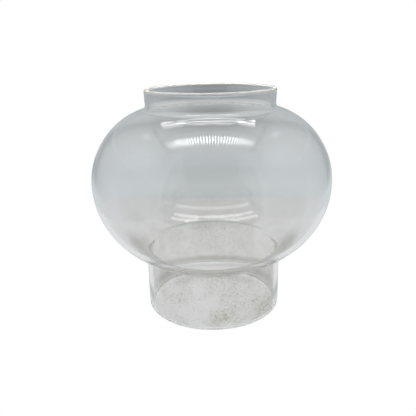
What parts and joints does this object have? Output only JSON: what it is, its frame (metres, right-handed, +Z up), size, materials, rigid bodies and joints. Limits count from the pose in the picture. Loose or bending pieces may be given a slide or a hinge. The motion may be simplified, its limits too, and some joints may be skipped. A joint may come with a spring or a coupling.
{
  "type": "oil lamp globe",
  "caption": "Clear glass globe for an oil lamp: straight fitter ring, bulging belly and short open neck, open at both ends.",
  "frame": {"origin": "centre of the ground bottom edge of the fitter ring, in the plane it stands on", "axes": "+Z up along the axis of revolution, from the fitter ring to the open neck; X and Y are any two directions square to it"},
  "size_m": [0.1706, 0.1706, 0.16],
  "materials": {
    "clear_glass": "clear, ground on the bottom edge, fire-polished at the rim"
  },
  "bodies": {
    "root": {"glass_globe": "clear_glass"}
  },
  "joints": []
}
